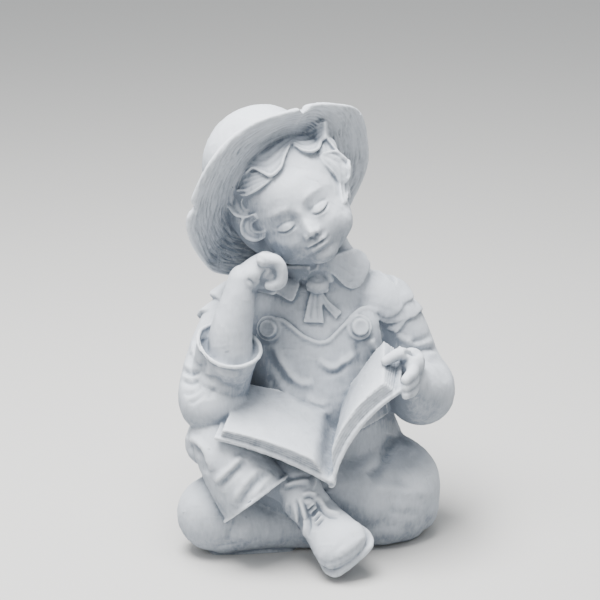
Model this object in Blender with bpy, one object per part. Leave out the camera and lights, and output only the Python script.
"""A cast stone garden figure: a boy sits with an open book on his knees and his head on his fist.

The figure is one casting. Its forms are modelled one by one, as a sculptor adds clay, and are then
poured together: a voxel Remesh makes them one skin, smoothing rounds the joins, and folds and edges
are pressed into that skin.

The figure faces -Y and stands on z = 0. Its pose, proportions and carving are shares of its height,
counted in modules of a 59th of it: at the real height a module is a centimetre. The sizes below can
each be set alone.
"""

import math

import bpy
import numpy as np

# Driving sizes, in metres.
HEIGHT = 0.59
BRIM_RADIUS = 0.142
BRIM_THICKNESS = 0.010
CROWN_RADIUS = 0.079
CROWN_HEIGHT = 0.12
BUTTON_RADIUS = 0.0115
CUFF_RIM = 0.0028
HEM_RIM = 0.0025
BIB_RIM = 0.0032
BLOCK_AT_SPINE = 0.017
BLOCK_AT_FORE_EDGE = 0.0125
RAISED_BLOCK_AT_SPINE = 0.010
RAISED_BLOCK_AT_FORE_EDGE = 0.021
BOARD_THICKNESS = 0.0055
BOARD_OVERHANG = 0.006
SHOE_LENGTH = 0.13
SOLE_THICKNESS = 0.012

MODULES = 59
MODULE = HEIGHT / MODULES

# How finely the casting is sampled, in modules, and how many triangles it keeps.
BODY_VOXEL = 0.36
CAST_VOXEL = 0.26
TRIANGLES = 9600

# The wall of an open cuff or hem, as a share of its width, and the share of a fold that tapers off.
WALL = 0.1
TAPER = 0.25

# The front view that the forms are set out on: an eye looks down on the figure by FALL.
FALL = math.radians(18)
EYE_DISTANCE = 260.0
AIM = np.array([-2.38, 0.0, 32.2])
LOOK = np.array([0.0, math.cos(FALL), -math.sin(FALL)])
RISE = np.array([0.0, math.sin(FALL), math.cos(FALL)])
EYE = AIM - EYE_DISTANCE * LOOK


def clear_scene():
    for old in list(bpy.data.objects):
        bpy.data.objects.remove(old)


# Places and paths

def front(across, up, depth):
    """The point at this depth (y) that the front view shows at (across, up)."""
    on_plane = AIM + (across - AIM[0]) * np.array([1.0, 0.0, 0.0]) + (up - AIM @ RISE) * RISE
    ray = on_plane - EYE
    return EYE + ray * (depth - EYE[1]) / ray[1]


def seen(points):
    """Where the front view shows points: an array of across and up."""
    ray = points - EYE
    ray = ray * (EYE_DISTANCE / (ray @ LOOK))[:, None]
    return np.stack([EYE[0] + ray[:, 0], (EYE + ray) @ RISE], axis=1)


def unit(vector):
    vector = np.asarray(vector, float)
    return vector / np.linalg.norm(vector, axis=-1, keepdims=True)


def spread(rows, per_gap=5):
    """A smooth run through the rows of numbers: a Catmull-Rom curve, per_gap steps to each gap."""
    rows = np.asarray(rows, float)
    before = np.vstack([2 * rows[0] - rows[1], rows, 2 * rows[-1] - rows[-2]])
    share = (np.arange(per_gap) / per_gap)[:, None]
    runs = []
    for a, b, c, d in zip(before, before[1:], before[2:], before[3:]):
        runs.append(
            0.5 * (2 * b + (c - a) * share + (2 * a - 5 * b + 4 * c - d) * share**2
                   + (3 * b - a - 3 * c + d) * share**3)
        )
    return np.vstack(runs + [rows[-1:]])


# Closed forms, each a pair of points and faces

def skin(rings, tips=None):
    """Faces over rings of points, closed round each ring. With tips the ends are closed, without
    them the last ring joins the first."""
    count, sides = rings.shape[:2]
    points = rings.reshape(-1, 3)
    index = np.arange(count * sides).reshape(count, sides)
    if tips is None:
        index = np.vstack([index, index[:1]])
    ahead = np.roll(index, -1, axis=1)
    faces = np.stack([index[:-1], ahead[:-1], ahead[1:], index[1:]], axis=-1).reshape(-1, 4).tolist()
    if tips is not None:
        points = np.vstack([points, tips])
        first, last = count * sides, count * sides + 1
        faces += [[first, b, a] for a, b in zip(index[0], ahead[0])]
        faces += [[last, a, b] for a, b in zip(index[-1], ahead[-1])]
    return points, faces


def loft(rows, side=(1, 0, 0), sides=22, square=2.0, ends=(1.0, 1.0)):
    """A rounded form carried through rows of x, y, z, half-width along side, half-depth across it.
    square over 2 makes its section boxier. Its two tips bulge by ends: below 0 a tip is hollow,
    inside a wall of WALL times its width."""
    rows = spread(rows)
    centre, half = rows[:, :3], rows[:, 3:5]
    along = unit(np.gradient(centre, axis=0))
    tilt = np.radians([35, 62, 80])[:, None]
    caps = []
    for end, way, bulge in zip((0, -1), (-1, 1), ends):
        reach = bulge * half[end].min() * np.sin(tilt) * way
        mouth = half[end] * np.cos(tilt) * (1 if bulge > 0 else 1 - WALL)
        cap = centre[end] + reach * along[end], mouth, np.repeat(along[end][None], len(tilt), 0)
        caps.append(cap if way > 0 else [part[::-1] for part in cap])
    centre, half, along = (
        np.vstack([first, middle, last])
        for first, middle, last in zip(caps[0], (centre, half, along), caps[1])
    )
    side = np.asarray(side, float)
    across = unit(side - (along @ side)[:, None] * along)
    deep = np.cross(along, across)
    turn = np.linspace(0, 2 * math.pi, sides, endpoint=False)
    a = np.sign(np.cos(turn)) * np.abs(np.cos(turn)) ** (2 / square)
    b = np.sign(np.sin(turn)) * np.abs(np.sin(turn)) ** (2 / square)
    rings = centre[:, None] + (half[:, :1] * a)[..., None] * across[:, None]
    rings = rings + (half[:, 1:] * b)[..., None] * deep[:, None]
    return skin(rings, centre[[0, -1]])


def rope(path, radius, sides=12):
    """A round strand along path. radius is one number, or one for each point of path."""
    path = np.asarray(path, float)
    radius = np.broadcast_to(np.asarray(radius, float), len(path))
    run = path[-1] - path[0]
    side = np.eye(3)[np.argmin(np.abs(run))]
    return loft(np.column_stack([path, radius, radius]), side=side, sides=sides)


def ball(centre, radii, axes=np.eye(3)):
    """An ellipsoid: radii run along the rows of axes."""
    fall = np.linspace(0, math.pi, 17)[1:-1]
    turn = np.linspace(0, 2 * math.pi, 24, endpoint=False)
    local = np.stack(
        np.broadcast_arrays(
            np.sin(fall)[:, None] * np.cos(turn),
            np.sin(fall)[:, None] * np.sin(turn),
            np.cos(fall)[:, None] * np.ones_like(turn),
        ),
        axis=-1,
    )
    scaled = np.diag(np.asarray(radii, float)) @ np.asarray(axes, float)
    tips = np.array([[0, 0, 1], [0, 0, -1]]) @ scaled + centre
    return skin(local @ scaled + centre, tips)


def rolled_rim(rows, side, radius, waves):
    """The rolled edge at the open end of a loft: a closed strand round its last ring, which waves
    in and out that many times."""
    rows = spread(rows)
    centre, half = rows[-1, :3], rows[-1, 3:5]
    along = unit(rows[-1, :3] - rows[-2, :3])
    across = unit(np.asarray(side, float) - (along @ side) * along)
    turn = np.linspace(0, 2 * math.pi * 1.03, 40)
    wave = 1 + 0.035 * np.sin(waves * turn)
    ring = centre + (half[0] * wave * np.cos(turn))[:, None] * across
    ring = ring + (half[1] * wave * np.sin(turn))[:, None] * np.cross(along, across)
    thick = np.full(len(ring), radius)
    return loft(np.column_stack([ring, thick, thick]), side=along, sides=10)


def even_steps(line, count):
    """A smooth curve through a line's points, read at even steps of its length."""
    line = spread(line)
    length = np.append(0, np.cumsum(np.linalg.norm(np.diff(line, axis=0), axis=1)))
    at = np.linspace(0, length[-1], count)
    return np.column_stack([np.interp(at, length, column) for column in line.T])


def ruled(upper, lower, along=30, across=7):
    """A grid of spots between two edges, on straight lines from one edge to the other."""
    share = np.linspace(0, 1, across)[None, :, None]
    return even_steps(upper, along)[:, None] * (1 - share) + even_steps(lower, along)[:, None] * share


def between(over, under):
    """The solid between two grids of points: their faces, and a wall round their edges."""
    rows, columns = over.shape[:2]
    index = np.arange(rows * columns).reshape(rows, columns)
    quads = np.stack([index[:-1, :-1], index[1:, :-1], index[1:, 1:], index[:-1, 1:]], axis=-1).reshape(-1, 4)
    edge = np.concatenate([index[:-1, 0], index[-1, :-1], index[:0:-1, -1], index[0, :0:-1]])
    ahead, down = np.roll(edge, -1), rows * columns
    walls = np.stack([edge, edge + down, ahead + down, ahead], axis=-1)
    faces = np.vstack([quads, quads[:, ::-1] + down, walls])
    return np.vstack([over.reshape(-1, 3), under.reshape(-1, 3)]), faces.tolist()


def plate(grid, thickness):
    """A bent board: a grid of points moved half its thickness to each side."""
    offset = unit(np.cross(np.gradient(grid, axis=0), np.gradient(grid, axis=1))) * thickness / 2
    return between(grid + offset, grid - offset)


def within(value, low, high):
    """0 below low, 1 above high, and a smooth ramp between."""
    share = np.clip((value - low) / (high - low), 0, 1)
    return share * share * (3 - 2 * share)


# The casting: what pours forms together and works their skin

def mesh_object(name, forms):
    """One object that holds the forms, given in modules."""
    points, faces, start = [], [], 0
    for form_points, form_faces in forms:
        points.append(form_points)
        faces += [[start + i for i in face] for face in form_faces]
        start += len(form_points)
    mesh = bpy.data.meshes.new(name)
    mesh.from_pydata((np.vstack(points) * MODULE).tolist(), [], faces)
    obj = bpy.data.objects.new(name, mesh)
    bpy.context.scene.collection.objects.link(obj)
    return obj


def evaluated(obj):
    """The object's mesh with its modifiers applied. The object is removed."""
    bpy.context.view_layer.update()
    graph = bpy.context.evaluated_depsgraph_get()
    mesh = bpy.data.meshes.new_from_object(obj.evaluated_get(graph))
    bpy.data.objects.remove(obj)
    return mesh


def arrays(mesh):
    """A mesh's points, in modules, and its faces."""
    points = np.empty(len(mesh.vertices) * 3, np.float32)
    mesh.vertices.foreach_get("co", points)
    faces = [list(face.vertices) for face in mesh.polygons]
    return points.reshape(-1, 3).astype(float) / MODULE, faces


def main_shell(mesh):
    """Keeps the mesh's largest shell: pockets that the forms close off inside it are filled."""
    pairs = np.empty(len(mesh.edges) * 2, np.int32)
    mesh.edges.foreach_get("vertices", pairs)
    a, b = pairs.reshape(-1, 2).T
    label = np.arange(len(mesh.vertices))
    while True:
        low = np.minimum(label[a], label[b])
        spread_label = label.copy()
        np.minimum.at(spread_label, a, low)
        np.minimum.at(spread_label, b, low)
        spread_label = spread_label[spread_label]
        if (spread_label == label).all():
            break
        label = spread_label
    names, sizes = np.unique(label, return_counts=True)
    keep = label == names[sizes.argmax()]
    if keep.all():
        return mesh
    points, faces = arrays(mesh)
    renumber = np.cumsum(keep) - 1
    faces = [[int(renumber[i]) for i in face] for face in faces if keep[face[0]]]
    kept = bpy.data.meshes.new(mesh.name)
    kept.from_pydata((points[keep] * MODULE).tolist(), [], faces)
    return kept


def pour(name, forms, voxel, rounding):
    """The forms as one closed skin, with its joins rounded by that many passes."""
    obj = mesh_object(name, forms)
    remesh = obj.modifiers.new("one_skin", "REMESH")
    remesh.mode = "VOXEL"
    remesh.voxel_size = voxel * MODULE
    smooth = obj.modifiers.new("soften", "SMOOTH")
    smooth.factor = 0.5
    smooth.iterations = rounding
    return main_shell(evaluated(obj))


class Skin:
    """The skin of the casting while it is worked: points in modules, and their normals."""

    def __init__(self, mesh):
        self.mesh = mesh
        self.points = arrays(mesh)[0]
        self.refresh()

    def refresh(self):
        """Writes the points to the mesh, and reads the normals that follow."""
        self.mesh.vertices.foreach_set("co", (self.points * MODULE).astype(np.float32).ravel())
        self.mesh.update()
        normals = np.empty(len(self.points) * 3, np.float32)
        self.mesh.vertex_normals.foreach_get("vector", normals)
        self.normals = normals.reshape(-1, 3).astype(float)
        self.view = seen(self.points)
        self.facing = np.clip(-(self.normals @ LOOK) * 2.5, 0, 1)

    def lay(self, across, up, proud=0.0):
        """The point of the skin that the front view shows at (across, up), raised off it."""
        gap = np.linalg.norm(self.view - (across, up), axis=1)
        near = np.flatnonzero((gap < max(0.9, gap.min() + 0.3)) & (self.normals @ LOOK < 0.2))
        near = near[self.points[near, 1] < self.points[near, 1].min() + 2.5]
        weight = np.exp(-((gap[near] / 0.5) ** 2))
        point = front(across, up, weight @ self.points[near, 1] / weight.sum())
        return point + proud * unit(weight @ self.normals[near])

    def lay_all(self, grid, proud):
        """A whole grid or line of spots, laid on the skin. proud is one number or one for each."""
        proud = np.broadcast_to(proud, grid.shape[:-1])
        spots = zip(grid.reshape(-1, 2), proud.ravel())
        return np.array([self.lay(*spot, rise) for spot, rise in spots]).reshape(*grid.shape[:-1], 3)

    def lay_behind(self, across, up, proud=0.0):
        """The same on the back of the figure, at (x, z)."""
        gap = np.linalg.norm(self.points[:, ::2] - (across, up), axis=1)
        near = np.flatnonzero((gap < max(0.9, gap.min() + 0.3)) & (self.normals[:, 1] > -0.2))
        near = near[self.points[near, 1] > self.points[near, 1].max() - 2.5]
        weight = np.exp(-((gap[near] / 0.5) ** 2))
        point = np.array([across, weight @ self.points[near, 1] / weight.sum(), up])
        return point + proud * unit(weight @ self.normals[near])

    def near_line(self, line, reach):
        """For the points that the front view shows within reach of a line: their index, their
        distance from it, and how far along it they are, from 0 to 1."""
        line = spread(line, 6)
        low, high = line.min(axis=0) - reach, line.max(axis=0) + reach
        inside = ((self.view > low) & (self.view < high)).all(axis=1)
        index = np.flatnonzero(inside & (self.facing > 0))
        start, run = line[:-1], np.diff(line, axis=0)
        gap = self.view[index][:, None] - start
        share = np.clip((gap * run).sum(-1) / (run * run).sum(-1), 0, 1)
        off = gap - share[..., None] * run
        distance = np.linalg.norm(off, axis=-1)
        best = distance.argmin(axis=1)
        row = np.arange(len(index))
        along = (best + share[row, best]) / len(run)
        distance = distance[row, best]
        keep = distance < reach
        return index[keep], distance[keep], along[keep]

    def fold(self, line, width, height):
        """A ridge (height over 0) or a valley along a line of the front view: points move along
        their normals by height times a bell of their distance, less towards the line's ends."""
        index, distance, along = self.near_line(line, width * 1.5)
        ends = np.clip(np.minimum(along, 1 - along) / TAPER, 0, 1) ** 0.5
        amount = height * ends * np.exp(-((distance / (0.55 * width)) ** 2)) * self.facing[index]
        self.points[index] += self.normals[index] * amount[:, None]


# The body under the clothes

HEAD = np.array([-2.8, -1.0, 45.5])
FACE = unit([0.06, -0.99, 0.10])
HEAD_LEAN = math.radians(30)
HEAD_SIDE = unit(np.cross(FACE, [-math.sin(HEAD_LEAN), 0.0, math.cos(HEAD_LEAN)]))
HEAD_UP = np.cross(HEAD_SIDE, FACE)
HEAD_AXES = np.array([HEAD_SIDE, -FACE, HEAD_UP])
HEAD_HALF = np.array([6.3, 7.4, 8.1])


def in_head(side, forward, up):
    """A point given from the middle of the head: to the boy's own right, forward and up."""
    return HEAD + side * HEAD_SIDE + forward * FACE + up * HEAD_UP


def torso():
    rows = [
        (1.0, 4.0, -1.0, 11.8, 8.4),
        (0.8, 4.0, 4, 12.2, 9.0),
        (0.5, 3.2, 9.5, 11.6, 9.4),
        (0.2, 2.2, 15, 10.0, 9.4),
        (0.0, 2.2, 19, 9.5, 9.0),
        (-0.3, 2.2, 23, 9.6, 8.0),
        (-0.5, 2.2, 28, 9.8, 7.0),
        (-0.3, 2.3, 32, 9.0, 5.6),
        (0.6, 1.9, 35.2, 6.4, 4.6),
        (0.4, 1.1, 37.4, 4.4, 3.9),
        (-1.2, 0.0, 42, 3.8, 3.8),
    ]
    return [loft(rows, sides=32, square=2.3, ends=(0.2, 0.2))]


def face():
    """A plain child's face: nose, lips and closed lids, small and soft."""
    forms = [
        rope([in_head(0, 6.6, 1.0), in_head(0, 7.4, -0.6), in_head(0, 7.9, -1.7)], [0.55, 0.6, 0.75]),
        ball(in_head(0, 6.6, -3.9), (1.4, 0.8, 0.38), HEAD_AXES),
        ball(in_head(0, 6.4, -4.6), (1.1, 0.8, 0.42), HEAD_AXES),
    ]
    for hand in (-1, 1):
        forms.append(ball(in_head(0.7 * hand, 7.1, -2.0), (0.55, 0.6, 0.45), HEAD_AXES))
        forms.append(ball(in_head(2.4 * hand, 5.6, -0.3), (1.35, 1.1, 0.8), HEAD_AXES))
    return forms


def skull():
    return [
        ball(HEAD, HEAD_HALF, HEAD_AXES),
        ball(in_head(0, 2.2, -2.6), (5.9, 4.9, 5.0), HEAD_AXES),
        ball(in_head(0, 4.7, -6.2), (2.2, 1.5, 1.5), HEAD_AXES),
        ball(in_head(3.0, 3.4, -3.8), (2.6, 2.5, 2.5), HEAD_AXES),
        ball(in_head(-3.0, 3.4, -3.8), (2.6, 2.5, 2.5), HEAD_AXES),
        loft([(*in_head(0.8, -1.0, -4.0), 3.8, 3.8), (0.2, 0.6, 37.0, 3.9, 3.8), (0.6, 1.6, 34.0, 4.4, 4.2)]),
    ]


def sleeves():
    """Both arms in their full sleeves, up to the rolled cuff on one and the wrist on the other."""
    by_knee = [
        (-8.8, 2.6, 30.6, 4.0, 4.0),
        (-11.6, 0.8, 28.4, 3.9, 4.2),
        (-13.3, -3.2, 25.0, 4.0, 4.4),
        (-14.0, -7.4, 22.0, 4.2, 4.5),
        (-13.9, -8.8, 21.2, 4.2, 4.3),
    ]
    by_book = [
        (7.6, 2.8, 31.0, 4.0, 4.0),
        (10.3, 2.8, 28.2, 3.8, 4.0),
        (11.7, 2.4, 25.2, 3.8, 4.0),
        (12.7, 2.0, 22.5, 3.9, 4.2),
        (13.6, 1.8, 19.8, 4.6, 4.8),
    ]
    lower = [
        (13.9, 1.6, 19.3, 4.6, 4.8),
        (13.6, -2.0, 19.9, 4.5, 4.4),
        (12.9, -5.2, 21.6, 3.6, 3.6),
        (12.1, -7.6, 23.4, 2.3, 2.4),
    ]
    elbow = [ball((-13.5, -8.0, 21.2), (4.5, 4.6, 3.7)), ball((-12.6, -4.0, 17.5), (3.4, 4.0, 3.4))]
    return [loft(by_knee), loft(by_book), loft(lower)] + elbow


def trousers():
    """The raised knee and the knee that lies on the ground, in wide cloth."""
    raised = [
        (-3.5, 2.5, 8.5, 6.0, 6.0),
        (-8.5, -3.0, 12.0, 5.2, 5.6),
        (-12.9, -7.0, 15.0, 3.8, 4.6),
        (-14.0, -8.6, 15.2, 3.2, 3.6),
    ]
    flat = [
        (3.5, 3.5, 6.0, 7.0, 7.0),
        (7.5, 0.5, 6.2, 7.0, 6.8),
        (10.2, -2.2, 5.8, 6.6, 6.4),
        (9.8, -3.6, 5.0, 6.2, 5.4),
    ]
    lap = [
        (-7.0, -3.0, 9.5, 6.0, 6.5),
        (0.0, -4.0, 7.0, 6.0, 6.6),
        (6.0, -3.5, 7.0, 6.0, 7.0),
    ]
    return [
        loft(raised, side=(0, 0, 1)),
        loft(flat, side=(0, 0, 1), square=2.6),
        loft(lap, side=(0, 0, 1)),
    ]


def tucked_leg():
    """The shin that lies on the ground, from the flat knee across to the other side."""
    rows = [
        (9.0, -5.0, 3.2, 3.6, 4.2),
        (1.0, -6.5, 3.2, 3.4, 3.6),
        (-6.0, -7.4, 3.4, 3.2, 3.6),
        (-10.5, -8.4, 4.2, 4.0, 4.0),
    ]
    return [loft(rows, side=(0, 0, 1))]


def body():
    return torso() + sleeves() + trousers() + tucked_leg()


# The hat

HAT_AXIS = unit([-0.587, 0.725, 0.355])
HAT_LONG = unit(np.cross(HAT_AXIS, np.cross([0.69, 0.22, 0.68], HAT_AXIS)))
HAT_DOWN = np.cross(HAT_AXIS, HAT_LONG)
HAT = np.array([-4.6, 0.6, 47.7])
NOTCHES = (-0.76, -2.40)


def in_hat(long, down, back):
    """A point given from the middle of the brim: the long way of its rim in the front view, down
    its far side, and back along the crown."""
    long, down, back = (np.asarray(v, float)[..., None] for v in (long, down, back))
    return HAT + long * HAT_LONG + down * HAT_DOWN + back * HAT_AXIS


def bump(angle, centre, width):
    return np.exp(-(((angle - centre + math.pi) % (2 * math.pi) - math.pi) / width) ** 2)


def brim():
    """The brim as rings round its own rim: over its back to the rim, and under it again."""
    turn = np.linspace(0, 2 * math.pi, 120, endpoint=False)
    rim = BRIM_RADIUS / MODULE - 2.3 * bump(turn, -0.8, 0.75) + 0.8 * bump(turn, -2.8, 0.5)
    rim = rim + 0.18 * np.sin(5 * turn + 0.6) + 0.12 * np.sin(9 * turn)
    for notch in NOTCHES:
        rim = rim - 0.9 * bump(turn, notch, 0.05)
    wave = 0.5 * np.sin(3 * turn + 1.0) + 0.25 * np.sin(7 * turn)
    share = np.array([0.0, 0.25, 0.5, 0.75, 0.92, 1.0])
    inner = CROWN_RADIUS / MODULE - 1.0
    reach = inner + (rim[:, None] - inner) * share
    rise = 1.6 * (1 - share) + wave[:, None] * share**2
    half = BRIM_THICKNESS / MODULE / 2 * np.array([1.3, 1.1, 1.0, 1.0, 0.85, 0.35])
    reach = np.concatenate([reach, reach[:, ::-1]], axis=1)
    rise = np.concatenate([rise + half, (rise - half)[:, ::-1]], axis=1)
    return skin(in_hat(reach * np.cos(turn)[:, None], reach * np.sin(turn)[:, None], rise))


def crown():
    back = CROWN_HEIGHT / MODULE * np.array([0.06, 0.2, 0.45, 0.65, 0.84, 0.95])
    wide = CROWN_RADIUS / MODULE * np.array([1.01, 1.0, 0.98, 0.92, 0.72, 0.48])
    centre = in_hat(np.zeros(6), np.zeros(6), back)
    return loft(np.column_stack([centre, wide, wide]), side=HAT_LONG, sides=32, ends=(0.02, 0.18))


def hat():
    return [crown(), brim()]


# The book

SPINE_NEAR = front(1.8, 6.7, -15.5)
SPINE_FAR = front(3.0, 14.6, -5.5)
FLAT_NEAR = front(-13.0, 12.5, -15.0)
FLAT_FAR = front(-10.1, 18.8, -5.6)
STEEP_NEAR = front(10.4, 18.4, -13.0)
STEEP_FAR = front(10.4, 24.0, -6.5)


def book_half(fore_near, fore_far, bow, root, fore):
    """One half of the open book: a block of leaves on its board. The base bows up between the spine
    and the fore-edge, bow high at the reader's end and less at the far end. The block's thickness
    runs from root to fore, and dips to nothing in the gutter."""
    up = unit(np.cross(SPINE_FAR - SPINE_NEAR, fore_near - SPINE_NEAR))
    up = up if up[2] > 0 else -up
    out = np.linspace(0, 1, 32)
    into = np.linspace(0, 1, 12)[:, None, None]
    near = SPINE_NEAR + (fore_near - SPINE_NEAR) * out[:, None]
    far = SPINE_FAR + (fore_far - SPINE_FAR) * out[:, None]
    base = near * (1 - into) + far * into
    base = base + (1 - 0.7 * into) * (4 * bow * out * (1 - out))[:, None] * up
    thick = (root + (fore - root) * out) / MODULE * within(out, 0.05, 0.24) + 0.1
    middle = base.mean(axis=(0, 1))
    overhang = BOARD_OVERHANG / MODULE / np.linalg.norm(fore_near - SPINE_NEAR)
    board = middle + (base - middle) * (1 + 2 * overhang) - up * BOARD_THICKNESS / MODULE / 2
    return [between(base, base + thick[:, None] * up), plate(board, BOARD_THICKNESS / MODULE)]


def book():
    flat = book_half(FLAT_NEAR, FLAT_FAR, 0.9, BLOCK_AT_SPINE, BLOCK_AT_FORE_EDGE)
    raised = book_half(STEEP_NEAR, STEEP_FAR, 1.6, RAISED_BLOCK_AT_SPINE, RAISED_BLOCK_AT_FORE_EDGE)
    return flat + raised + [rope([SPINE_NEAR, SPINE_FAR], 0.6)]


# Hands and the bare forearm

def forearm():
    rows = [
        (*front(-11.6, 22.0, -9.9), 3.0, 3.0),
        (*front(-11.5, 26.0, -9.6), 2.75, 2.9),
        (*front(-10.5, 30.5, -9.2), 2.2, 2.4),
        (*front(-9.9, 33.2, -8.8), 1.9, 2.1),
    ]
    return loft(rows)


def fist():
    """The hand bent at the wrist, with its four fingers curled under towards the palm."""
    back = [
        (*front(-9.9, 32.6, -8.8), 1.8, 2.1),
        (*front(-8.6, 34.0, -8.6), 1.8, 2.5),
        (*front(-6.9, 35.2, -8.4), 1.6, 2.7),
    ]
    forms = [
        loft(back, side=(-0.6, 0, 0.8)),
        ball(front(-7.4, 33.6, -8.4), (1.9, 2.0, 1.6)),
        ball(front(-6.2, 34.1, -9.3), (1.3, 1.4, 1.5)),
    ]
    for number in range(4):
        depth = -10.7 + 1.45 * number
        path = [
            front(-7.2, 35.8, depth),
            front(-5.6, 35.6, depth),
            front(-4.8, 34.4, depth),
            front(-4.9, 32.9, depth),
            front(-5.8, 32.4, depth + 0.1),
            front(-6.6, 32.4, depth + 0.3),
        ]
        forms.append(rope(path, [0.95, 0.82, 0.74, 0.72, 0.66, 0.5]))
    thumb = [front(-8.6, 33.0, -6.6), front(-7.2, 32.4, -6.4), front(-6.0, 31.9, -6.6)]
    return forms + [rope(thumb, [1.0, 0.9, 0.7])]


def holding_hand():
    """The hand on the steep half of the book: the thumb on the leaves, the fingers behind them."""
    thumb = [front(12.3, 22.7, -8.6), front(10.9, 23.4, -9.6), front(8.9, 22.5, -10.6)]
    forms = [
        ball(front(12.4, 22.3, -8.0), (1.7, 2.6, 1.8)),
        rope(thumb, [1.0, 0.85, 0.62]),
    ]
    for number in range(3):
        drop = 1.15 * number
        path = [
            front(12.5, 21.9 - drop, -8.6),
            front(12.4, 20.9 - drop, -11.2),
            front(11.6, 20.0 - drop * 0.85, -12.9),
        ]
        forms.append(rope(path, [0.95, 0.8, 0.62]))
    return forms


# The rolled cuff, the open trouser leg and the shoes

def cuff():
    """The rolled cuff: a short bell round the forearm, hollow at its mouth."""
    rows = [
        (*front(-13.0, 19.6, -7.6), 3.9, 4.0),
        (*front(-12.4, 22.2, -8.9), 3.9, 4.0),
        (*front(-11.8, 24.5, -10.4), 4.1, 3.5),
    ]
    side = (0.81, 0, -0.59)
    return [loft(rows, side=side, sides=28, ends=(0.6, -0.45)), rolled_rim(rows, side, CUFF_RIM / MODULE, 3)]


def trouser_leg():
    """The wide leg of cloth below the raised knee: it ends in an open hem with a drawn-out tip."""
    rows = [
        (*front(-13.0, 13.6, -8.4), 3.9, 4.6),
        (*front(-12.0, 10.6, -10.2), 4.1, 4.9),
        (*front(-10.2, 7.4, -11.6), 4.5, 4.7),
        (*front(-8.1, 4.5, -12.6), 5.0, 4.3),
    ]
    side = (0.8, 0, 0.6)
    return [loft(rows, side=side, sides=28, ends=(0.6, -0.5)), rolled_rim(rows, side, HEM_RIM / MODULE, 5)]


SHOE_TOE = front(3.9, -2.9, -18.6)
SHOE_AHEAD = unit([0.42, -0.88, -0.22])
SHOE_SIDE = unit(np.cross(SHOE_AHEAD, np.cross([0.82, 0.1, 0.56], SHOE_AHEAD)))
SHOE_UP = np.cross(SHOE_AHEAD, SHOE_SIDE)


def in_shoe(back, side, up):
    """A point given from the middle of the toe: back along the sole, to the viewer's right, up."""
    return SHOE_TOE - back * SHOE_AHEAD + side * SHOE_SIDE + up * SHOE_UP


def shoe():
    length, half_sole = SHOE_LENGTH / MODULE, SOLE_THICKNESS / MODULE / 2
    upper = [
        (*in_shoe(length - 2, 0, 0.8), 2.5, 2.6),
        (*in_shoe(8.6, -0.1, 1.2), 2.7, 2.8),
        (*in_shoe(5.0, -0.1, 0.7), 3.1, 2.4),
        (*in_shoe(2.0, 0.0, 0.1), 3.6, 2.1),
        (*in_shoe(0.9, 0.0, -0.2), 3.3, 1.7),
    ]
    ankle = [
        (*in_shoe(8.4, 0, 1.4), 2.7, 2.8),
        (*in_shoe(9.0, -0.1, 3.6), 2.9, 2.7),
        (*front(-2.9, 6.0, -11.2), 2.9, 2.8),
        (*front(-6.0, 7.6, -9.4), 2.8, 2.9),
    ]
    sole = [
        (*in_shoe(length - 1.2, 0, -1.9), 2.4, half_sole),
        (*in_shoe(7.0, 0, -1.9), 3.0, half_sole),
        (*in_shoe(3.0, 0, -1.9), 3.85, half_sole),
        (*in_shoe(1.2, 0, -1.9), 3.8, half_sole),
        (*in_shoe(0.2, 0, -1.85), 3.3, half_sole),
    ]
    return [
        loft(upper, side=SHOE_SIDE, ends=(0.8, 0.8)),
        loft(ankle, side=SHOE_SIDE),
        loft(sole, side=SHOE_SIDE, square=2.8),
    ]


def tucked_shoe():
    """The other shoe: its round toe stands on the ground beside the raised knee."""
    rows = [
        (-4.0, -6.6, 0.1, 2.4, 1.1),
        (-9.0, -7.0, 0.1, 2.7, 1.2),
        (-13.6, -7.3, 0.2, 2.8, 1.2),
    ]
    return [
        ball((-13.9, -8.4, 5.3), (4.7, 4.5, 5.0)),
        ball((-12.3, -8.0, 3.2), (4.4, 4.0, 3.4)),
        loft(rows, side=(0, 1, 0), square=2.6),
    ]


# The dress, laid on the body

WAIST = 16.0


def layer(clay, upper, lower, proud=0.5, fade=0.0):
    """A layer of cloth on the skin of the clay, between two edges in the front view. Over the share
    fade of its length it rises out of the body."""
    grid = ruled(upper, lower)
    start = np.linspace(0, 1, len(grid))[:, None]
    rise = (proud + 0.3) * within(start, -0.01, fade) - 0.3
    return between(clay.lay_all(grid, rise), clay.lay_all(grid, -0.7))


def yoke(clay):
    """The two layers of cloth that lie over the shoulder from the raised strap outwards."""
    over = layer(
        clay,
        [(4.6, 33.5), (6.6, 34.6), (8.2, 34.0), (9.4, 32.8), (10.6, 31.6)],
        [(4.8, 28.4), (5.6, 29.3), (6.6, 29.5), (7.6, 29.0), (8.6, 28.4), (9.8, 28.4), (11.0, 29.4)],
        proud=0.55, fade=0.5,
    )
    under = layer(
        clay,
        [(7.0, 30.0), (9.0, 30.2), (11.0, 30.6), (12.2, 30.9)],
        [(7.4, 28.0), (9.0, 27.5), (10.6, 27.7), (12.0, 28.2), (12.9, 28.9)],
        proud=0.35,
    )
    return [over, under]


def collar(clay):
    """A flat pointed collar in two flaps, with the end of the scarf under it."""
    right_neck = [(-0.2, 35.6), (1.0, 36.3), (2.6, 36.9), (4.2, 37.1), (5.5, 36.9), (6.5, 36.2)]
    right_edge = [
        (-0.2, 34.9), (1.2, 34.7), (2.2, 33.8), (3.2, 32.7), (4.2, 32.1), (5.0, 32.3), (5.8, 33.5),
        (6.4, 35.0),
    ]
    left_neck = [(-8.6, 33.6), (-6.5, 34.4), (-4.5, 35.0), (-2.5, 35.4), (-1.0, 35.3)]
    left_edge = [
        (-8.4, 31.8), (-6.4, 31.8), (-4.8, 31.1), (-3.4, 30.4), (-2.7, 31.6), (-2.0, 33.5), (-1.0, 34.8),
    ]
    return [layer(clay, right_neck, right_edge, 0.85), layer(clay, left_neck, left_edge, 0.8)]


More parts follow.
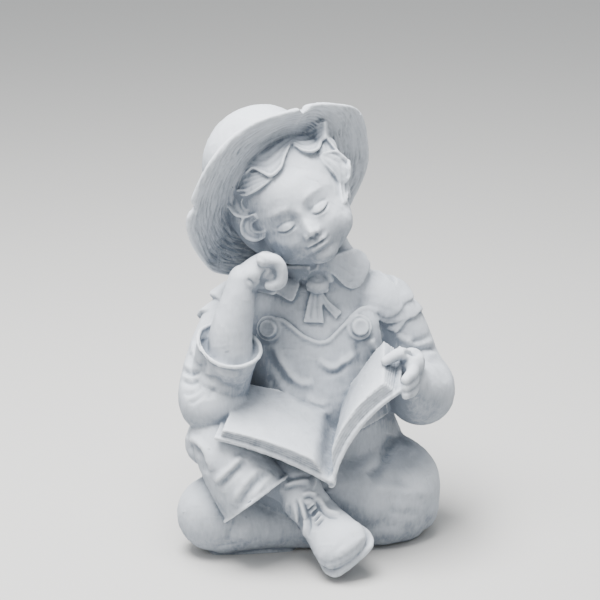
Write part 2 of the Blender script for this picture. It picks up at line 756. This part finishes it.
def scarf(clay):
    """The puffed knot under the collar and its two tails."""
    round_neck = np.array([(-1.6, 33.6), (-1.0, 34.6), (0.1, 34.9), (1.2, 34.3), (1.6, 33.4)])
    left = [(-0.9, 32.0), (-1.4, 30.0), (-1.9, 27.6)], [(0.2, 32.0), (0.45, 30.0), (0.8, 27.4)]
    right = [(0.3, 32.0), (1.4, 30.4), (3.1, 28.8)], [(0.1, 31.4), (0.9, 29.6), (2.3, 28.0)]
    return [
        rope(clay.lay_all(round_neck, 0.25), 0.5),
        ball(clay.lay(-0.05, 32.7, 0.55), (1.5, 1.15, 1.05)),
        layer(clay, *left, 0.6),
        layer(clay, *right, 0.5),
    ]


def bell(centre, way, radius, length, phase):
    """A short bell of cloth round an arm, with a waving rim, that ends square across."""
    centre, way = np.asarray(centre, float), unit(way)
    side = unit(np.cross(way, [0, 1.0, 0]))
    deep = np.cross(way, side)
    turn = np.linspace(0, 2 * math.pi, 60, endpoint=False)
    wave = np.sin(4 * turn + phase) + 0.5 * np.sin(7 * turn + 2 * phase)
    rings = []
    for share, size in ((0.0, 0.70), (0.35, 0.84), (0.7, 0.95), (1.0, 1.0), (1.04, 0.93), (1.05, 0.6)):
        reach = radius * size * (1 + 0.035 * wave * share)
        ahead = -length * (1 - share) + 0.35 * wave * share
        rings.append(
            centre + ahead[:, None] * way + (reach * np.cos(turn))[:, None] * side
            + (reach * np.sin(turn))[:, None] * deep
        )
    rings = np.array(rings)
    return skin(rings, np.array([rings[0].mean(axis=0), rings[-1].mean(axis=0)]))


def shoulder_caps():
    """The double caps of cloth that stand over the top of each sleeve."""
    return [
        bell((8.9, 2.5, 31.1), (0.40, 0.24, -0.90), 3.9, 2.4, 0.0),
        bell((10.3, 2.3, 29.2), (0.30, 0.12, -0.94), 3.7, 2.0, 1.3),
        bell((-10.8, 1.9, 29.7), (-0.66, -0.15, -0.72), 4.4, 4.4, 2.0),
        bell((-12.0, 0.6, 27.8), (-0.52, -0.48, -0.70), 4.5, 3.2, 0.4),
    ]


def dungarees(clay):
    """The bib between its two buttons, with its rolled top edge."""
    edge = np.array([
        (-8.6, 24.8), (-7.6, 26.6), (-6.2, 28.0), (-4.6, 27.8), (-3.4, 26.9), (-2.0, 25.8), (-0.5, 25.1),
        (0.5, 24.95), (1.5, 25.3), (2.5, 26.3), (3.5, 27.3), (4.5, 28.3), (5.4, 29.1), (6.6, 29.4),
        (7.6, 29.0),
    ])
    foot = [(-9.5, 14.0), (-5.5, 13.6), (-2.0, 13.2), (2.0, 13.2), (5.5, 13.6), (9.5, 16.0)]
    forms = [layer(clay, edge, foot, 0.45), rope(clay.lay_all(edge[2:], 0.38), BIB_RIM / MODULE)]
    button = BUTTON_RADIUS / MODULE
    for across, up in ((-6.3, 26.8), (5.3, 26.9)):
        outward = unit(clay.lay(across, up, 1.0) - clay.lay(across, up, 0.0) + (0, -0.35, 0.1))
        flat = unit(np.cross(outward, [0, 0, 1.0]))
        axes = np.array([flat, np.cross(outward, flat), outward])
        forms.append(ball(clay.lay(across, up, 0.45), (1.4 * button, 1.4 * button, 0.45), axes))
        forms.append(ball(clay.lay(across, up, 0.7), (button, button, 0.6), axes))
    return forms


def straps(clay):
    """The straps that cross over the back, down to the waistband and its two buttons."""
    forms = []
    for hand in (-1, 1):
        strap = [(hand * 6.0, 34.5), (hand * 3.6, 29.0), (hand * 0.2, 22.5), (-hand * 3.4, WAIST)]
        path = np.array([clay.lay_behind(*spot, 0.1) for spot in spread(strap, 3)])
        forms.append(loft(np.column_stack([path, np.full(len(path), 1.3), np.full(len(path), 0.6)])))
        forms.append(ball(clay.lay_behind(-hand * 3.4, WAIST, 0.7), (1.0, 0.4, 1.0)))
    line = spread([(-9.2, WAIST), (-4.5, WAIST), (0.0, WAIST - 0.2), (4.5, WAIST), (9.2, WAIST)], 3)
    proud = -0.2 - 0.6 * np.abs(np.linspace(-1, 1, len(line))) ** 6
    path = np.array([clay.lay_behind(*spot, rise) for spot, rise in zip(line, proud)])
    forms.append(loft(np.column_stack([path, np.full(len(path), 0.6), np.full(len(path), 1.3)])))
    return forms


def hair_mass():
    """The hair that lies close under the hat, over the back of the head and the temples."""
    return [
        ball(in_head(0, -0.9, 2.0), (6.7, 7.3, 7.0), HEAD_AXES),
        ball(in_head(6.2, -0.4, 0.6), (2.4, 3.2, 4.4), HEAD_AXES),
        ball(in_head(5.4, 0.8, -3.4), (1.3, 1.8, 2.6), HEAD_AXES),
        ball(in_head(-5.6, -0.2, 1.4), (2.1, 3.0, 3.8), HEAD_AXES),
    ]


def ear(side):
    """The ear that the hat leaves free: a raised rim over a flat dish, and the lobe."""
    outline = [
        (6.1, 0.5, -0.6), (6.4, 0.3, 0.6), (6.7, -0.7, 1.3), (6.9, -1.8, 0.8), (6.9, -2.0, -0.5),
        (6.6, -1.3, -1.8), (6.2, -0.3, -2.5),
    ]
    return [
        rope([in_head(side * out, ahead, up) for out, ahead, up in outline], 0.4),
        ball(in_head(side * 6.1, -0.8, -0.5), (0.55, 1.2, 1.7), HEAD_AXES),
        ball(in_head(side * 6.15, -0.2, -2.3), (0.5, 0.6, 0.7), HEAD_AXES),
    ]


def wave(scalp, inner, crest, height=0.75, rim=0.26):
    """A wave of hair between an inner edge and its crest, in the front view. It lies low at the
    inner edge and rises with the cube of the share across to the crest, less at both ends."""
    grid = ruled(inner, crest, along=24, across=8)
    ends = np.clip(np.sin(np.linspace(0.08, 0.95, len(grid)) * math.pi), 0, 1)[:, None] ** 0.4
    proud = 0.16 + (height - 0.16) * np.linspace(0, 1, grid.shape[1]) ** 3
    top = scalp.lay_all(grid, proud * ends)
    strand = scalp.lay_all(grid[:, -1], (height - 0.08) * ends[:, 0])
    thick = rim * np.linspace(0.75, 1.0, len(grid)) * ends[:, 0]
    return [between(top, scalp.lay_all(grid, -0.9)), rope(strand[1:-1:2], thick[1:-1:2], sides=10)]


def hair(scalp):
    """The waves that curl out from under the hat over the forehead and the temples."""
    over_forehead = wave(
        scalp,
        inner=[(-2.7, 52.9), (-5.2, 52.4), (-7.6, 51.4), (-9.8, 50.0), (-11.6, 48.0)],
        crest=[
            (-3.7, 50.6), (-4.3, 49.3), (-4.8, 47.7), (-5.9, 46.7), (-7.1, 47.2), (-8.2, 47.7), (-9.4, 46.9),
        ],
    )
    below_it = wave(
        scalp,
        inner=[(-6.4, 47.3), (-7.8, 47.3), (-9.4, 46.9), (-11.0, 45.9)],
        crest=[(-5.9, 46.5), (-6.9, 45.6), (-8.2, 44.8), (-9.4, 44.4), (-10.8, 44.6)],
        height=0.5, rim=0.2,
    )
    side_curl = wave(
        scalp,
        inner=[(-8.8, 44.5), (-9.6, 44.0), (-9.9, 43.4), (-9.8, 42.8), (-9.5, 42.4), (-9.2, 42.4)],
        crest=[(-8.7, 44.9), (-10.2, 44.9), (-11.1, 43.9), (-11.1, 42.6), (-10.3, 41.6), (-9.3, 41.5)],
        height=0.7,
    )
    curl_by_ear = wave(
        scalp,
        inner=[(-7.9, 41.3), (-8.6, 40.5), (-8.5, 39.7), (-7.7, 39.5), (-6.9, 39.7)],
        crest=[(-8.3, 41.9), (-9.7, 41.2), (-9.7, 39.6), (-8.5, 38.6), (-6.9, 38.8)],
        height=0.6,
    )
    other_wave = wave(
        scalp,
        inner=[(-3.4, 52.6), (-2.0, 53.2), (-0.6, 53.7), (1.0, 54.0)],
        crest=[(-3.2, 50.6), (-2.3, 49.9), (-1.2, 49.6), (-0.3, 50.0), (0.3, 51.1), (1.2, 52.2)],
    )
    beside_it = wave(
        scalp,
        inner=[(0.5, 52.3), (0.3, 51.1), (0.0, 49.7)],
        crest=[(1.0, 52.3), (1.9, 51.2), (2.8, 49.8)],
        height=0.45, rim=0.2,
    )
    temple_lock = wave(
        scalp,
        inner=[(0.2, 49.4), (0.9, 48.3), (1.6, 47.5), (2.3, 46.7), (2.8, 45.9)],
        crest=[(0.4, 49.6), (2.0, 49.7), (3.4, 49.3), (4.0, 48.2), (3.8, 46.9), (3.4, 45.9)],
        height=0.7,
    )
    locks = over_forehead + below_it + side_curl + curl_by_ear + other_wave + beside_it + temple_lock
    return hair_mass() + locks


def added(clay, scalp):
    head = hat() + face() + ear(1) + ear(-1) + hair(scalp)
    hands = [forearm()] + fist() + holding_hand() + book()
    dress = cuff() + trouser_leg() + shoulder_caps() + yoke(clay) + collar(clay) + scarf(clay)
    return head + hands + dress + dungarees(clay) + straps(clay) + shoe() + tucked_shoe()


def folds(cast):
    """Presses the folds of the cloth and the hollows of the face into the casting."""
    valleys = [
        ([(-16.6, 23.6), (-15.8, 21.2), (-15, 20.3), (-13.5, 20), (-12.5, 19.3), (-10, 18.7)], 1.0, -0.55),
        ([(-15.2, 25.4), (-15.2, 23), (-15.0, 20.8)], 0.9, -0.5),
        ([(11.4, 23.5), (12.6, 23.7), (14, 24), (15.7, 24.2), (16.6, 23.4)], 0.9, -0.6),
        ([(12.2, 25.0), (13.6, 25.2), (15.2, 26.0)], 0.8, -0.25),
        ([(14.6, 22.6), (16.0, 21.4), (17.0, 19.8)], 1.2, -0.2),
        ([(12.9, 17.4), (14.4, 16.2), (16.0, 15.8)], 1.2, -0.2),
        ([(-16.8, 11.6), (-15.4, 10.3), (-15.0, 9), (-14.6, 7.8)], 1.0, -0.5),
        ([(-13.0, 5.8), (-12.0, 6.9), (-10.6, 8.2), (-9.4, 9.2)], 1.0, -0.4),
        ([(-10.4, 3.4), (-9.4, 5.0), (-8.0, 6.6), (-6.8, 7.8)], 0.8, -0.3),
        ([(9.7, 12.8), (9.2, 10.6), (8.2, 8.8), (6.5, 7.5)], 1.6, -0.7),
        ([(-6.4, 23.9), (-5.9, 22.2), (-5.0, 20.6), (-3.8, 19.2)], 1.0, -0.3),
        ([(0.6, 21.5), (1.6, 20.9), (2.8, 21.2), (3.8, 22.0)], 0.8, -0.2),
        ([(-1.3, 3.7), (-0.6, 2.6), (-0.3, 1.4), (-0.4, 0.2)], 1.3, -0.35),
    ]
    ridges = [
        ([(-5.7, 24.7), (-5, 23), (-3.5, 20.7), (-2.5, 19.8), (-1.5, 19.5), (-0.5, 19.7)], 1.0, 0.5),
        ([(0.0, 22.7), (0.8, 22.1), (1.6, 21.6), (2.4, 21.7), (3.1, 22.3), (4.8, 23.6)], 0.8, 0.34),
        ([(-5.4, 19.2), (-3.8, 17.4), (-2.0, 16.2), (0.0, 15.6), (2.0, 15.9)], 1.1, 0.35),
        ([(6.9, 25.4), (7.2, 24.7), (7.6, 23.8)], 0.8, 0.4),
        ([(10.0, 26.4), (11.2, 25.4), (12.6, 24.8)], 0.9, 0.25),
        ([(-16.4, 25.2), (-16.3, 23.4), (-15.9, 22.0)], 0.8, 0.3),
        ([(-17.5, 12.6), (-16, 12), (-15, 10.8), (-14.6, 9.5), (-14.1, 8)], 1.1, 0.6),
        ([(-13.6, 6.6), (-12.5, 7.5), (-11, 9), (-10.0, 9.9)], 0.8, 0.5),
        ([(-11.4, 3.6), (-10.4, 5.4), (-9.0, 7.2), (-7.6, 8.6)], 0.9, 0.3),
        ([(7.0, 5.8), (9.5, 5.6), (12.0, 5.4), (15.0, 5.2)], 1.4, 0.3),
        ([(-2.5, 4.5), (-1.8, 2.6), (-1.55, 1.0), (-1.75, -0.8)], 0.6, 0.4),
        ([(-0.1, 4.8), (0.7, 3.4), (1.5, 2.6), (2.9, 2.3)], 0.6, 0.4),
    ]
    for line, width, height in valleys + ridges:
        cast.fold(line, width, height)
    cast.refresh()


def figure():
    clay = Skin(pour("body", body(), BODY_VOXEL, 10))
    head = pour("head", skull(), BODY_VOXEL, 10)
    scalp = Skin(pour("scalp", skull() + hair_mass(), BODY_VOXEL, 6))
    cast = Skin(pour("casting", [arrays(clay.mesh), arrays(head)] + added(clay, scalp), CAST_VOXEL, 3))
    folds(cast)
    obj = bpy.data.objects.new("boy_with_book", cast.mesh)
    bpy.context.scene.collection.objects.link(obj)
    thin = obj.modifiers.new("fewer_faces", "DECIMATE")
    thin.ratio = TRIANGLES / (2 * len(cast.mesh.polygons))
    thin.use_collapse_triangulate = True
    return flat_underside(evaluated(obj))


def flat_underside(mesh):
    """Brings the casting to its height, and cuts it off level with the ground."""
    points, faces = arrays(mesh)
    points[:, 2] *= MODULES / points[:, 2].max()
    obj = mesh_object("boy_with_book", [(points, faces)])
    slab = np.array([(x, y, z) for x in (-40, 40) for y in (-40, 40) for z in (-20, 0)], float)
    sides = [[0, 1, 3, 2], [4, 6, 7, 5], [0, 4, 5, 1], [2, 3, 7, 6], [0, 2, 6, 4], [1, 5, 7, 3]]
    cutter = mesh_object("ground", [(slab, sides)])
    cut = obj.modifiers.new("flat_underside", "BOOLEAN")
    cut.operation = "DIFFERENCE"
    cut.solver = "EXACT"
    cut.object = cutter
    mesh = evaluated(obj)
    bpy.data.objects.remove(cutter)
    done = bpy.data.objects.new("boy_with_book", mesh)
    bpy.context.scene.collection.objects.link(done)
    return done


def finish(obj):
    stone = bpy.data.materials.new("cast_stone")
    stone.use_nodes = True
    shader = stone.node_tree.nodes["Principled BSDF"]
    shader.inputs["Base Color"].default_value = (0.62, 0.64, 0.67, 1)
    shader.inputs["Roughness"].default_value = 0.85
    obj.data.materials.clear()
    obj.data.materials.append(stone)


clear_scene()
finish(figure())
